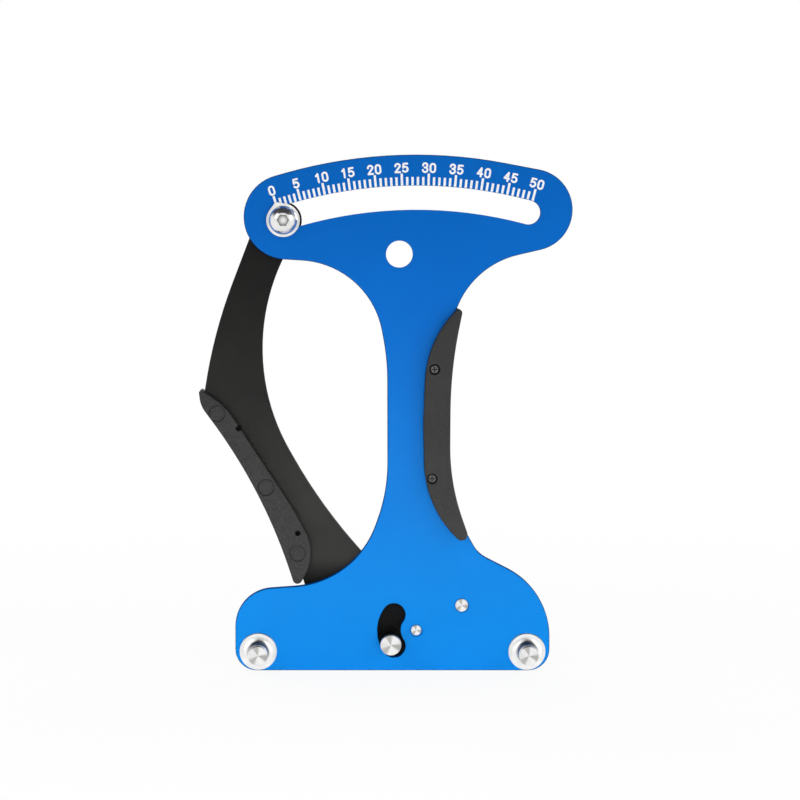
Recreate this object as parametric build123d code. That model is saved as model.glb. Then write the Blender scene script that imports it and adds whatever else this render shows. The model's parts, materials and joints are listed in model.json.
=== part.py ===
from build123d import *
import math
import os

# Spoke tension meter, in millimetres. Seen from the front, +X is right, +Z is up and -Y is
# towards the viewer. The origin is the centre of the hang hole, halfway through the plate.
# Depths are places along Y. Scale angles turn about the pivot, clockwise from straight up.

# Plate
PLATE_TOP_RADIUS = 179.2
PLATE_THICK = 3.0
PLATE_EDGE_ROUND = 0.5
HANG_HOLE_RADIUS = 5.05
WINDOW_EDGE_ROUND = 0.1

# Pivot of the lever
PIN_RADIUS = 4.0
PIN_STUB_RADIUS = 1.9
PIN_STUB_RECESS = 0.1
PIN_EYE_RADIUS = 2.5
PIN_EYE_DEPTH = 0.9
PIN_TAIL = 1.2
PIN_CHAMFER = 0.4
BUSH_RADIUS = 5.5
THRUST_WASHER_THICK = 0.5
RETAINING_WASHER_THICK = 1.0
RETAINING_WASHER_RADIUS = 8.2
CIRCLIP_THICK = 0.9
CIRCLIP_RADIUS = 6.0
CIRCLIP_MOUTH_ANGLE = 100.0
CIRCLIP_GROOVE_DEPTH = 0.6

# Lever
LEVER_THICK = 3.0
LEVER_EDGE_ROUND = 0.2
LEVER_HUB_RADIUS = 15.2

# Fits
PRESS_GAP = 0.02
RUNNING_GAP = 0.04
SLIDE_GAP = 0.1
SCREW_GAP = 0.15
SAME_POINT = 0.0001
SAME_DEPTH = 0.001

# Spoke posts
POST_PROUD = 10.0
POST_FLANGE_RADIUS = 7.05
POST_FLANGE_THICK = 1.0
POST_HEAD_RADIUS = 3.7
POST_HEAD_LENGTH = 2.2
POST_NECK_RADIUS = 2.7
POST_CONE_RADIUS = 5.6
POST_CHAMFER = 0.3
POST_SCREW_RADIUS = 2.0
POST_SCREW_HEAD_RADIUS = 3.8
POST_SCREW_REACH = 6.0

# Moving post
MOVING_POST_RADIUS = 10.6
MOVING_POST_ANGLE = 201.6
MOVING_POST_SHANK = 3.1
MOVING_POST_TIP = 3.9
MOVING_POST_FOOT_GAP = 0.12
MOVING_POST_SCREW_RADIUS = 1.5
MOVING_POST_SCREW_HEAD_RADIUS = 3.0
MOVING_POST_SCREW_REACH = 7.0

# Kidney slot that the moving post looks out of
KIDNEY_SHIFT = 0.25
KIDNEY_CLEARANCE = 1.35
KIDNEY_TOP_ANGLE = 145.2
KIDNEY_BOTTOM_ANGLE = 215.7

# Scale
SLOT_LEFT_ANGLE = -18.5
SLOT_RIGHT_ANGLE = 14.55
SCALE_TOP = 50
SCALE_NUMERAL_STEP = 5
SCALE_START_ANGLE = -18.41
SCALE_SPAN_ANGLE = 33.02
SCALE_BUNCHING = 2.6
TICK_WIDTH = 0.87
TICK_START_GAP = 0.1
TICK_SHORT_LENGTH = 3.1
TICK_LONG_LENGTH = 4.4
PRINT_THICK = 0.06
NUMERAL_RISE = 6.6
NUMERAL_HEIGHT = 3.8
NUMERAL_WIDTH = 2.45
NUMERAL_STROKE = 0.72
NUMERAL_PITCH = 2.85

# Pointer
POINTER_DROP = 0.6
POINTER_DISC_RADIUS = 6.25
POINTER_THICK = 1.0
POINTER_STANDOFF = 0.2
POINTER_TOOTH_REACH = 7.25
POINTER_TOOTH_ROUND = 0.45
POINTER_TOOTH_LEAN = 4.7
SPACER_WALL = 0.6
SPACER_CLEARANCE = 0.3
POINTER_SCREW_RADIUS = 3.0
BUTTON_HEAD_RADIUS = 5.4
BUTTON_HEAD_HEIGHT = 3.2
BUTTON_HEAD_RIM = 0.4
BUTTON_TOP_RADIUS = 2.7
HEX_KEY = 4.0
HEX_DEPTH = 2.2
NUT_WASHER_RADIUS = 6.0
NUT_WASHER_THICK = 1.2
NUT_ACROSS_FLATS = 10.0
NUT_HEIGHT = 5.0
NUT_CHAMFER = 0.6
SCREW_PAST_NUT = 0.8

# Torsion spring
WIRE_RADIUS = 1.0
COIL_CLEARANCE = 0.5
COIL_PITCH = 2.95
COIL_WHOLE_TURNS = 3
COIL_GAP_TO_LEVER = 0.5
SPRING_REST_GAP = 0.1
ANCHOR_ANGLE = 29.172
ANCHOR_CLEARANCE = 1.053
ANCHOR_PIN_RADIUS = 2.375
ANCHOR_PIN_PROUD = 0.15
ANCHOR_EYE_WIDTH = 0.45
ANCHOR_EYE_DEPTH = 0.8
ANCHOR_COLLAR_RADIUS = 3.4
ANCHOR_COLLAR_THICK = 1.0
MOVING_LEG_ANGLE = 135.0
MOVING_LEG_TO_PIN = 15.0
LEG_PAST_PIN = 5.0
STOP_PIN_RADIUS = 2.0
STOP_PIN_SHANK_RADIUS = 1.5
PIN_PAST_WIRE = 0.8
GAP_SAMPLES = 420

# Finger grips
BODY_GRIP_THICK = 4.5
LEVER_GRIP_THICK = 4.5
GRIP_EDGE_ROUND = 0.6
GRIP_SCREW_RADIUS = 1.0
GRIP_SCREW_HEAD_RADIUS = 1.6
GRIP_SCREW_HEAD_HEIGHT = 1.3
GRIP_SCREW_SUNK = 0.5
GRIP_SCREW_SHORT = 2.6
COUNTERBORE_RADIUS = 2.05
CROSS_WIDTH = 0.42
CROSS_REACH = 1.05
CROSS_DEPTH = 0.7
MOULD_MARK_RADIUS = 3.15
MOULD_MARK_DEPTH = 0.5

# Outlines are belts round circles, clockwise from the front: (x, z, radius, side). They and the
# places of posts, screws and marks are drawn for the top radius of PLATE_TOP, which is centred on
# the pivot, and are carried to the plate's own top radius.
BULGE = 1
HOLLOW = -1
PLATE_TOP = (7.29, -142.08, 179.20, BULGE)
PLATE_RIGHT_SIDE = [
    (49.45, 16.85, 15.30, BULGE),
    (51.85, -31.35, 32.15, HOLLOW),
    (238.65, -58.20, 220.75, HOLLOW),
    (76.90, -77.00, 58.00, HOLLOW),
    (38.90, -104.15, 11.55, HOLLOW),
    (28.60, -144.80, 29.35, BULGE),
    (49.92, -149.43, 8.05, BULGE),
]
PLATE_LEFT_SIDE = [
    (-52.95, -149.43, 8.05, BULGE),
    (-46.60, -140.50, 14.45, BULGE),
    (-41.00, -90.95, 34.55, HOLLOW),
    (-67.45, -78.90, 63.50, HOLLOW),
    (-89.75, -48.10, 85.55, HOLLOW),
    (-38.05, -34.80, 32.25, HOLLOW),
    (-42.35, 13.60, 15.85, BULGE),
]
LEVER_END = (-43.50, 12.39, 6.95, BULGE)
LEVER_RIGHT_SIDE = [
    (26.75, -35.55, 77.85, HOLLOW),
    (133.80, 21.50, 199.10, HOLLOW),
    (-2.45, -106.80, 12.00, HOLLOW),
]
LEVER_LEFT_SIDE = [
    (-29.40, -133.00, 3.00, BULGE),
    (-225.60, -185.50, 200.00, HOLLOW),
    (-70.70, -54.80, 2.50, BULGE),
    (113.75, -77.60, 188.30, BULGE),
    (-43.80, 1.45, 13.00, BULGE),
]
BODY_GRIP = [
    (22.15, -21.70, 1.35, BULGE),
    (183.20, -58.70, 163.80, HOLLOW),
    (101.70, -71.35, 82.30, HOLLOW),
    (23.95, -105.05, 2.25, BULGE),
    (49.65, -77.40, 39.95, BULGE),
    (50.00, -63.35, 40.70, BULGE),
    (49.60, -48.80, 39.85, BULGE),
]
LEVER_GRIP = [
    (-73.99, -52.25, 0.80, BULGE),
    (-85.50, -77.55, 28.43, BULGE),
    (-167.27, -172.46, 148.92, BULGE),
    (-49.56, -112.67, 16.94, BULGE),
    (-37.69, -122.52, 1.80, BULGE),
    (-232.15, -182.81, 201.77, HOLLOW),
    (-64.08, -53.11, 10.50, BULGE),
]
POST_LEFT = (-52.35, -150.03)
POST_RIGHT = (49.32, -150.03)
BODY_GRIP_SCREWS = [(13.29, -42.86), (12.68, -83.92)]
LEVER_GRIP_SCREWS = [(-59.98, -65.61), (-37.61, -105.05)]
BODY_GRIP_MARKS = [(18.00, -32.50), (14.40, -63.20), (18.60, -95.20)]
LEVER_GRIP_MARKS = [(-67.98, -59.97), (-49.60, -87.82), (-37.66, -112.71)]

# Depths
PLATE_FRONT = -PLATE_THICK / 2
PLATE_BACK = PLATE_THICK / 2
LEVER_FRONT = PLATE_BACK + THRUST_WASHER_THICK
LEVER_BACK = LEVER_FRONT + LEVER_THICK
BODY_GRIP_FACE = PLATE_FRONT - BODY_GRIP_THICK
BODY_GRIP_REAR = PLATE_BACK + BODY_GRIP_THICK
LEVER_GRIP_FACE = LEVER_FRONT - LEVER_GRIP_THICK
LEVER_GRIP_REAR = LEVER_BACK + LEVER_GRIP_THICK
PRINT_FRONT = PLATE_FRONT - PRINT_THICK
POST_TIP = PLATE_FRONT - POST_PROUD
POINTER_BACK = PLATE_FRONT - POINTER_STANDOFF
POINTER_FRONT = POINTER_BACK - POINTER_THICK
COIL_START = LEVER_BACK + COIL_GAP_TO_LEVER + WIRE_RADIUS

# Worked-out sizes
QUARTER_TURN = math.pi / 2
FULL_TURN = 2 * math.pi
SIZE_SHARE = PLATE_TOP_RADIUS / PLATE_TOP[2]
PIVOT_X = SIZE_SHARE * PLATE_TOP[0]
PIVOT_Z = SIZE_SHARE * PLATE_TOP[1]
POINTER_X = SIZE_SHARE * LEVER_END[0]
POINTER_Z = SIZE_SHARE * LEVER_END[1]
POINTER_RADIUS = math.hypot(POINTER_X - PIVOT_X, POINTER_Z - PIVOT_Z)
POINTER_ANGLE = math.degrees(math.atan2(POINTER_X - PIVOT_X, POINTER_Z - PIVOT_Z))
SPACER_RADIUS = POINTER_SCREW_RADIUS + SPACER_WALL
SLOT_WIDTH = 2 * (SPACER_RADIUS + POINTER_DROP + SPACER_CLEARANCE)
SLOT_CENTRE_RADIUS = POINTER_RADIUS + POINTER_DROP
SLOT_OUTER_RADIUS = SLOT_CENTRE_RADIUS + SLOT_WIDTH / 2
NUMERAL_CENTRE_RADIUS = SLOT_OUTER_RADIUS + NUMERAL_RISE
KIDNEY_RADIUS = MOVING_POST_RADIUS - KIDNEY_SHIFT
KIDNEY_HALF_WIDTH = MOVING_POST_SHANK + KIDNEY_CLEARANCE
MOVING_POST_FOOT_RADIUS = MOVING_POST_RADIUS - BUSH_RADIUS - SLIDE_GAP
COIL_RADIUS = BUSH_RADIUS + COIL_CLEARANCE + WIRE_RADIUS
ANCHOR_RADIUS = LEVER_HUB_RADIUS + ANCHOR_COLLAR_RADIUS + ANCHOR_CLEARANCE
ANCHOR_EYE_RADIUS = ANCHOR_PIN_RADIUS + ANCHOR_EYE_WIDTH
ANCHOR_X = PIVOT_X + ANCHOR_RADIUS * math.cos(math.radians(ANCHOR_ANGLE))
ANCHOR_Z = PIVOT_Z + ANCHOR_RADIUS * math.sin(math.radians(ANCHOR_ANGLE))
ANCHOR_OFFSET = COIL_RADIUS + WIRE_RADIUS + ANCHOR_PIN_RADIUS + SPRING_REST_GAP
FIXED_LEG_ANGLE = ANCHOR_ANGLE + math.degrees(math.asin(ANCHOR_OFFSET / ANCHOR_RADIUS))
COIL_SWEEP = math.radians((FIXED_LEG_ANGLE - MOVING_LEG_ANGLE - 180) % 360) + COIL_WHOLE_TURNS * FULL_TURN
COIL_RISE = COIL_PITCH * (COIL_SWEEP - QUARTER_TURN) / FULL_TURN
COIL_END = COIL_START + COIL_RISE
BUSH_BACK = COIL_END + WIRE_RADIUS + SLIDE_GAP
RETAINER_FRONT = BUSH_BACK + SLIDE_GAP
RETAINER_BACK = RETAINER_FRONT + RETAINING_WASHER_THICK
CIRCLIP_BACK = RETAINER_BACK + CIRCLIP_THICK
PIN_BACK = CIRCLIP_BACK + PIN_TAIL
NUT_WASHER_BACK = LEVER_BACK + NUT_WASHER_THICK
NUT_BACK = NUT_WASHER_BACK + NUT_HEIGHT


# ---------------------------------------------------------------- helpers

def carried(places):
    """Drawn points or circles at the plate's own size, each circle with its side."""
    return [(*(SIZE_SHARE * size for size in place[:3]), *place[3:]) for place in places]


def depth(y):
    """The plane at one depth, with its first axis right and its second axis up."""
    return Plane(origin=(0, y, 0), x_dir=(1, 0, 0), z_dir=(0, -1, 0))


def slab(face, front, back):
    """A flat shape pushed out between two depths."""
    return extrude(depth(back) * face, amount=back - front, dir=(0, -1, 0))


def disc(x, z, radius):
    return Pos(x, z) * Circle(radius)


def round_bar(x, z, radius, front, back):
    return slab(disc(x, z, radius), front, back)


def ring(x, z, radius, bore, front, back):
    return round_bar(x, z, radius, front, back) - round_bar(x, z, bore, front, back)


def countersink(x, z, hole, mouth, back):
    """The cone of a flat screw head whose wide end lies at the given rear depth."""
    height = mouth - hole
    profile = Polyline((0, back), (mouth, back), (hole, back - height), (0, back - height), close=True)
    return Pos(x, 0, z) * revolve(make_face(profile), Axis.Y)


def turned(x, z, edges):
    """A turned piece from a closed profile of radius and depth."""
    return Pos(x, 0, z) * revolve(make_face(edges), Axis.Y)


def on_scale(radius, angle):
    """A point at a radius from the pivot and a scale angle."""
    turn = math.radians(angle)
    return PIVOT_X + radius * math.sin(turn), PIVOT_Z + radius * math.cos(turn)


def round_pivot(radius, angle):
    """A point at a radius from the pivot and an angle anticlockwise from the right."""
    return on_scale(radius, 90 - angle)


def way_out(here, following):
    """The unit normal of the straight run from one belt circle to the next."""
    x, z, radius, side = here
    next_x, next_z, next_radius, next_side = following
    span = math.hypot(next_x - x, next_z - z)
    along = ((next_x - x) / span, (next_z - z) / span)
    lean = max(-1.0, min(1.0, (side * radius - next_side * next_radius) / span))
    lift = math.sqrt(1 - lean * lean)
    return along[0] * lean - along[1] * lift, along[1] * lean + along[0] * lift


def on_circle(circle, normal):
    """The point of a belt circle where the belt's normal is the given one."""
    x, z, radius, side = circle
    return x + side * radius * normal[0], z + side * radius * normal[1]


def arc_middle(circle, arrive, leave):
    """The point halfway round the belt's arc between two of its normals."""
    x, z, radius, side = circle
    start = math.atan2(side * arrive[1], side * arrive[0])
    end = math.atan2(side * leave[1], side * leave[0])
    turn = (side * (start - end)) % FULL_TURN
    angle = start - side * turn / 2
    return x + radius * math.cos(angle), z + radius * math.sin(angle)


def belt(circles):
    """The closed face of a belt that runs clockwise round circles, outside bulges and inside hollows."""
    count = len(circles)
    normals = [way_out(circles[index], circles[(index + 1) % count]) for index in range(count)]
    starts = [on_circle(circle, normals[index - 1]) for index, circle in enumerate(circles)]
    edges = []
    for index, circle in enumerate(circles):
        end = on_circle(circle, normals[index])
        following = starts[(index + 1) % count]
        straight = math.dist(end, following) > SAME_POINT
        middle = arc_middle(circle, normals[index - 1], normals[index])
        edges.append(ThreePointArc(starts[index], middle, end if straight else following))
        if straight:
            edges.append(Line(end, following))
    return make_face(Wire(edges))


def grown(circles, gap):
    """The circles of the same belt moved outwards by a gap."""
    return [(x, z, radius + side * gap, side) for x, z, radius, side in circles]


def curved_slot(radius, half_width, left, right):
    """The face of a slot about the pivot between two scale angles."""
    left_x, left_z = on_scale(radius, left)
    right_x, right_z = on_scale(radius, right)
    return belt([
        (left_x, left_z, half_width, BULGE),
        (PIVOT_X, PIVOT_Z, radius + half_width, BULGE),
        (right_x, right_z, half_width, BULGE),
        (PIVOT_X, PIVOT_Z, radius - half_width, HOLLOW),
    ])


def rims(solid, y):
    """The edges of a solid that lie at one depth."""
    return solid.edges().filter_by_position(Axis.Y, y - SAME_DEPTH, y + SAME_DEPTH)


# ---------------------------------------------------------------- plate and its print

def plate_outline():
    return carried([PLATE_TOP, *PLATE_RIGHT_SIDE, *PLATE_LEFT_SIDE])


def plate_windows():
    """The scale slot, the kidney slot and the hang hole."""
    scale_slot = curved_slot(SLOT_CENTRE_RADIUS, SLOT_WIDTH / 2, SLOT_LEFT_ANGLE, SLOT_RIGHT_ANGLE)
    kidney_start = 90 - KIDNEY_BOTTOM_ANGLE
    kidney_end = 90 - KIDNEY_TOP_ANGLE
    kidney_slot = curved_slot(KIDNEY_RADIUS, KIDNEY_HALF_WIDTH, kidney_start, kidney_end)
    return scale_slot + kidney_slot + disc(0, 0, HANG_HOLE_RADIUS)


def front_plate():
    blank = slab(belt(plate_outline()), PLATE_FRONT, PLATE_BACK)
    blank = fillet(rims(blank, PLATE_FRONT) + rims(blank, PLATE_BACK), PLATE_EDGE_ROUND)
    plate = blank - slab(plate_windows(), PLATE_FRONT, PLATE_BACK)
    front_face = plate.faces().sort_by(Axis.Y)[0]
    window_rims = [edge for wire in front_face.inner_wires() for edge in wire.edges()]
    plate = fillet(window_rims, WINDOW_EDGE_ROUND)
    for post_x, post_z in carried([POST_LEFT, POST_RIGHT]):
        plate -= round_bar(post_x, post_z, POST_SCREW_RADIUS + SCREW_GAP, PLATE_FRONT, PLATE_BACK)
        plate -= countersink(
            post_x, post_z, POST_SCREW_RADIUS + SCREW_GAP, POST_SCREW_HEAD_RADIUS + SCREW_GAP, PLATE_BACK
        )
    for screw_x, screw_z in carried(BODY_GRIP_SCREWS):
        plate -= round_bar(screw_x, screw_z, GRIP_SCREW_RADIUS + SCREW_GAP, PLATE_FRONT, PLATE_BACK)
    plate -= round_bar(PIVOT_X, PIVOT_Z, PIN_STUB_RADIUS + PRESS_GAP, PLATE_FRONT, PLATE_BACK)
    plate -= round_bar(PIVOT_X, PIVOT_Z, PIN_EYE_RADIUS, PLATE_FRONT, PLATE_FRONT + PIN_EYE_DEPTH)
    plate -= round_bar(ANCHOR_X, ANCHOR_Z, ANCHOR_PIN_RADIUS + PRESS_GAP, PLATE_FRONT, PLATE_BACK)
    plate -= round_bar(ANCHOR_X, ANCHOR_Z, ANCHOR_EYE_RADIUS, PLATE_FRONT, PLATE_FRONT + ANCHOR_EYE_DEPTH)
    return plate


def scale_angle(reading):
    share = reading / SCALE_TOP
    return SCALE_START_ANGLE + SCALE_SPAN_ANGLE * share - SCALE_BUNCHING * share * (1 - share) ** 2


def scale_ticks():
    ticks = []
    for reading in range(SCALE_TOP + 1):
        length = TICK_SHORT_LENGTH if reading % SCALE_NUMERAL_STEP else TICK_LONG_LENGTH
        angle = scale_angle(reading)
        x, z = on_scale(SLOT_OUTER_RADIUS + TICK_START_GAP + length / 2, angle)
        mark = Pos(x, z) * Rot(0, 0, -angle) * Rectangle(TICK_WIDTH, length)
        ticks.append(slab(mark, PRINT_FRONT, PLATE_FRONT))
    return Compound(ticks)


def numeral_strokes(digit):
    """The centre lines of one digit's strokes, about the middle of the digit."""
    half = (NUMERAL_WIDTH - NUMERAL_STROKE) / 2
    tall = (NUMERAL_HEIGHT - NUMERAL_STROKE) / 2

    def at(across, up):
        return across * half, up * tall

    if digit == "0":
        return [
            [ThreePointArc(at(-1, 0.4), at(0, 1), at(1, 0.4)), Line(at(1, 0.4), at(1, -0.4))],
            [ThreePointArc(at(1, -0.4), at(0, -1), at(-1, -0.4)), Line(at(-1, -0.4), at(-1, 0.4))],
        ]
    if digit == "1":
        return [[Line(at(-0.5, 0.55), at(0.3, 1)), Line(at(0.3, 1), at(0.3, -1))]]
    if digit == "2":
        return [
            [ThreePointArc(at(-1, 0.45), at(-0.1, 1), at(0.95, 0.4)), Line(at(0.95, 0.4), at(-1, -1))],
            [Line(at(-1, -1), at(1, -1))],
        ]
    if digit == "3":
        return [
            [ThreePointArc(at(-0.95, 0.55), at(0.9, 0.6), at(-0.2, 0.08))],
            [ThreePointArc(at(-0.2, 0.08), at(0.98, -0.5), at(-1, -0.55))],
        ]
    if digit == "4":
        return [
            [Line(at(0.45, -1), at(0.45, 1)), Line(at(0.45, 1), at(-1, -0.4))],
            [Line(at(-1, -0.4), at(1, -0.4))],
        ]
    return [
        [Line(at(0.9, 1), at(-0.75, 1)), Line(at(-0.75, 1), at(-0.9, 0.05))],
        [ThreePointArc(at(-0.9, 0.05), at(0.98, -0.3), at(-1, -0.65))],
    ]


def numeral_face(digit):
    face = Sketch()
    for stroke in numeral_strokes(digit):
        line = Wire([edge for part in stroke for edge in part.edges()])
        face += make_face(line.offset_2d(NUMERAL_STROKE / 2, side=Side.BOTH))
    return face


def scale_numerals():
    numerals = []
    for reading in range(0, SCALE_TOP + 1, SCALE_NUMERAL_STEP):
        digits = str(reading)
        angle = scale_angle(reading)
        x, z = on_scale(NUMERAL_CENTRE_RADIUS, angle)
        for place, digit in enumerate(digits):
            shift = (place - (len(digits) - 1) / 2) * NUMERAL_PITCH
            face = Pos(x, z) * Rot(0, 0, -angle) * Pos(shift, 0) * numeral_face(digit)
            numerals.append(slab(face, PRINT_FRONT, PLATE_FRONT))
    return Compound(numerals)


# ---------------------------------------------------------------- spoke posts

def fixed_post(place):
    x, z = carried([place])[0]
    flange_front = PLATE_FRONT - POST_FLANGE_THICK
    head_back = POST_TIP + POST_HEAD_LENGTH
    neck = (flange_front + head_back) / 2
    profile = [
        Polyline(
            (0, PLATE_FRONT),
            (POST_FLANGE_RADIUS, PLATE_FRONT),
            (POST_FLANGE_RADIUS, flange_front + POST_CHAMFER),
            (POST_FLANGE_RADIUS - POST_CHAMFER, flange_front),
            (POST_CONE_RADIUS, flange_front),
        ),
        Spline(
            [(POST_CONE_RADIUS, flange_front), (POST_NECK_RADIUS, neck), (POST_HEAD_RADIUS, head_back)],
            tangents=[(-1, -0.35), (1, -1)],
        ),
        Polyline(
            (POST_HEAD_RADIUS, head_back),
            (POST_HEAD_RADIUS, POST_TIP + POST_CHAMFER),
            (POST_HEAD_RADIUS - POST_CHAMFER, POST_TIP),
            (0, POST_TIP),
            (0, PLATE_FRONT),
        ),
    ]
    bore_front = PLATE_FRONT - POST_SCREW_REACH - SLIDE_GAP
    bore = round_bar(x, z, POST_SCREW_RADIUS + PRESS_GAP, bore_front, PLATE_FRONT)
    return turned(x, z, profile) - bore


def flat_screw(x, z, radius, head_radius, front, back):
    """A flat-headed screw whose head ends flush at the rear depth, with a cross recess."""
    screw = round_bar(x, z, radius, front, back) + countersink(x, z, radius, head_radius, back)
    return screw - cross_recess(x, z, back - CROSS_DEPTH, back)


def cross_recess(x, z, front, back):
    bar = Pos(x, z) * Rectangle(2 * CROSS_REACH, CROSS_WIDTH)
    post = Pos(x, z) * Rectangle(CROSS_WIDTH, 2 * CROSS_REACH)
    return slab(bar + post, front, back)


def fixed_post_screws():
    tip = PLATE_FRONT - POST_SCREW_REACH
    return Compound([
        flat_screw(x, z, POST_SCREW_RADIUS, POST_SCREW_HEAD_RADIUS, tip, PLATE_BACK)
        for x, z in carried([POST_LEFT, POST_RIGHT])
    ])


def moving_post():
    x, z = round_pivot(MOVING_POST_RADIUS, MOVING_POST_ANGLE)
    foot_front = PLATE_BACK + MOVING_POST_FOOT_GAP
    head_back = POST_TIP + POST_HEAD_LENGTH
    neck = (PLATE_FRONT + head_back) / 2
    profile = [
        Polyline(
            (0, LEVER_FRONT),
            (MOVING_POST_FOOT_RADIUS, LEVER_FRONT),
            (MOVING_POST_FOOT_RADIUS, foot_front),
            (MOVING_POST_SHANK, foot_front),
            (MOVING_POST_SHANK, PLATE_FRONT),
        ),
        Spline(
            [(MOVING_POST_SHANK, PLATE_FRONT), (POST_NECK_RADIUS, neck), (MOVING_POST_TIP, head_back)],
            tangents=[(0, -1), (1, -1)],
        ),
        Polyline(
            (MOVING_POST_TIP, head_back),
            (MOVING_POST_TIP, POST_TIP + POST_CHAMFER),
            (MOVING_POST_TIP - POST_CHAMFER, POST_TIP),
            (0, POST_TIP),
            (0, LEVER_FRONT),
        ),
    ]
    bore_front = LEVER_FRONT - MOVING_POST_SCREW_REACH - SLIDE_GAP
    bore = round_bar(x, z, MOVING_POST_SCREW_RADIUS + PRESS_GAP, bore_front, LEVER_FRONT)
    return turned(x, z, profile) - bore


def moving_post_screw():
    x, z = round_pivot(MOVING_POST_RADIUS, MOVING_POST_ANGLE)
    tip = LEVER_FRONT - MOVING_POST_SCREW_REACH
    return flat_screw(x, z, MOVING_POST_SCREW_RADIUS, MOVING_POST_SCREW_HEAD_RADIUS, tip, LEVER_BACK)


# ---------------------------------------------------------------- pivot

def pivot_pin():
    groove = CIRCLIP_GROOVE_DEPTH
    profile = Polyline(
        (0, PLATE_FRONT + PIN_STUB_RECESS),
        (PIN_STUB_RADIUS, PLATE_FRONT + PIN_STUB_RECESS),
        (PIN_STUB_RADIUS, PLATE_BACK),
        (PIN_RADIUS, PLATE_BACK),
        (PIN_RADIUS, RETAINER_BACK),
        (PIN_RADIUS - groove, RETAINER_BACK),
        (PIN_RADIUS - groove, CIRCLIP_BACK),
        (PIN_RADIUS, CIRCLIP_BACK),
        (PIN_RADIUS, PIN_BACK - PIN_CHAMFER),
        (PIN_RADIUS - PIN_CHAMFER, PIN_BACK),
        (0, PIN_BACK),
        close=True,
    )
    return turned(PIVOT_X, PIVOT_Z, profile)


def pivot_thrust_washer():
    return ring(PIVOT_X, PIVOT_Z, BUSH_RADIUS, PIN_RADIUS + RUNNING_GAP, PLATE_BACK, LEVER_FRONT - PRESS_GAP)


def lever_bush():
    return ring(PIVOT_X, PIVOT_Z, BUSH_RADIUS, PIN_RADIUS + RUNNING_GAP, LEVER_FRONT, BUSH_BACK)


def spring_retaining_washer():
    bore = PIN_RADIUS + RUNNING_GAP
    return ring(PIVOT_X, PIVOT_Z, RETAINING_WASHER_RADIUS, bore, RETAINER_FRONT, RETAINER_BACK - PRESS_GAP)


def pivot_circlip():
    bore = PIN_RADIUS - CIRCLIP_GROOVE_DEPTH + PRESS_GAP
    back = CIRCLIP_BACK - PRESS_GAP
    clip = ring(PIVOT_X, PIVOT_Z, CIRCLIP_RADIUS, bore, RETAINER_BACK, back)
    half = math.radians(CIRCLIP_MOUTH_ANGLE / 2)
    reach = 2 * CIRCLIP_RADIUS
    mouth = Polyline(
        (0, 0),
        (reach * math.sin(half), -reach * math.cos(half)),
        (-reach * math.sin(half), -reach * math.cos(half)),
        close=True,
    )
    return clip - slab(Pos(PIVOT_X, PIVOT_Z) * make_face(mouth), RETAINER_BACK, back)


# ---------------------------------------------------------------- torsion spring

def coil_rise(turned_by):
    """How far the wire has climbed, with a level start and end that ease over a quarter turn."""
    slope = COIL_PITCH / FULL_TURN
    if turned_by < QUARTER_TURN:
        return slope * turned_by ** 2 / (2 * QUARTER_TURN)
    left = COIL_SWEEP - turned_by
    if left < QUARTER_TURN:
        return COIL_RISE - slope * left ** 2 / (2 * QUARTER_TURN)
    return slope * (turned_by - QUARTER_TURN / 2)


def coil_slope(turned_by):
    """The climb of the wire for each unit of angle."""
    ease = min(1.0, turned_by / QUARTER_TURN, (COIL_SWEEP - turned_by) / QUARTER_TURN)
    return COIL_PITCH / FULL_TURN * ease


def coil_point(turned_by):
    angle = math.radians(MOVING_LEG_ANGLE + 90) + turned_by
    x = PIVOT_X + COIL_RADIUS * math.cos(angle)
    z = PIVOT_Z + COIL_RADIUS * math.sin(angle)
    return Vector(x, COIL_START + coil_rise(turned_by), z)


def coil_way(turned_by):
    angle = math.radians(MOVING_LEG_ANGLE + 90) + turned_by
    way = Vector(-COIL_RADIUS * math.sin(angle), coil_slope(turned_by), COIL_RADIUS * math.cos(angle))
    return way.normalized()


def biarc(start, start_way, end, end_way):
    """Two arcs that leave start along start_way, meet smoothly and reach end along end_way."""
    gap = end - start
    both = start_way + end_way
    bend = 2 * (1 - start_way.dot(end_way))
    pull = gap.dot(both)
    reach = (math.sqrt(pull ** 2 + bend * gap.dot(gap)) - pull) / bend
    first = start + start_way * reach
    last = end - end_way * reach
    middle = (first + last) * 0.5
    return [
        TangentArc(start, middle, tangent=start_way),
        TangentArc(middle, end, tangent=(last - first).normalized()),
    ]


def spring_path():
    steps = math.ceil(COIL_SWEEP / QUARTER_TURN)
    leg = MOVING_LEG_TO_PIN + LEG_PAST_PIN
    edges = [Line(coil_point(0) - coil_way(0) * leg, coil_point(0))]
    for step in range(steps):
        before = COIL_SWEEP * step / steps
        after = COIL_SWEEP * (step + 1) / steps
        edges += biarc(coil_point(before), coil_way(before), coil_point(after), coil_way(after))
    out = coil_point(COIL_SWEEP)
    reach = math.sqrt(ANCHOR_RADIUS ** 2 - ANCHOR_OFFSET ** 2) + LEG_PAST_PIN
    edges.append(Line(out, out + coil_way(COIL_SWEEP) * reach))
    return Wire([edge for part in edges for edge in part.edges()])


def least_gap(path):
    """The least clear gap of the wire to its own other turns, on points along its centre line."""
    spacing = path.length / GAP_SAMPLES
    points = [path.position_at(step / GAP_SAMPLES) for step in range(GAP_SAMPLES + 1)]
    skip = math.ceil(COIL_RADIUS * math.pi / spacing)
    gaps = [
        (points[here] - points[there]).length
        for here in range(GAP_SAMPLES + 1)
        for there in range(here + skip, GAP_SAMPLES + 1)
    ]
    return min(gaps) - 2 * WIRE_RADIUS


def torsion_spring():
    path = spring_path()
    print("torsion spring: least gap to itself", round(least_gap(path), 3), "mm")
    section = Plane(origin=path @ 0, z_dir=path % 0) * Circle(WIRE_RADIUS)
    return sweep(section, path=path)


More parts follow.
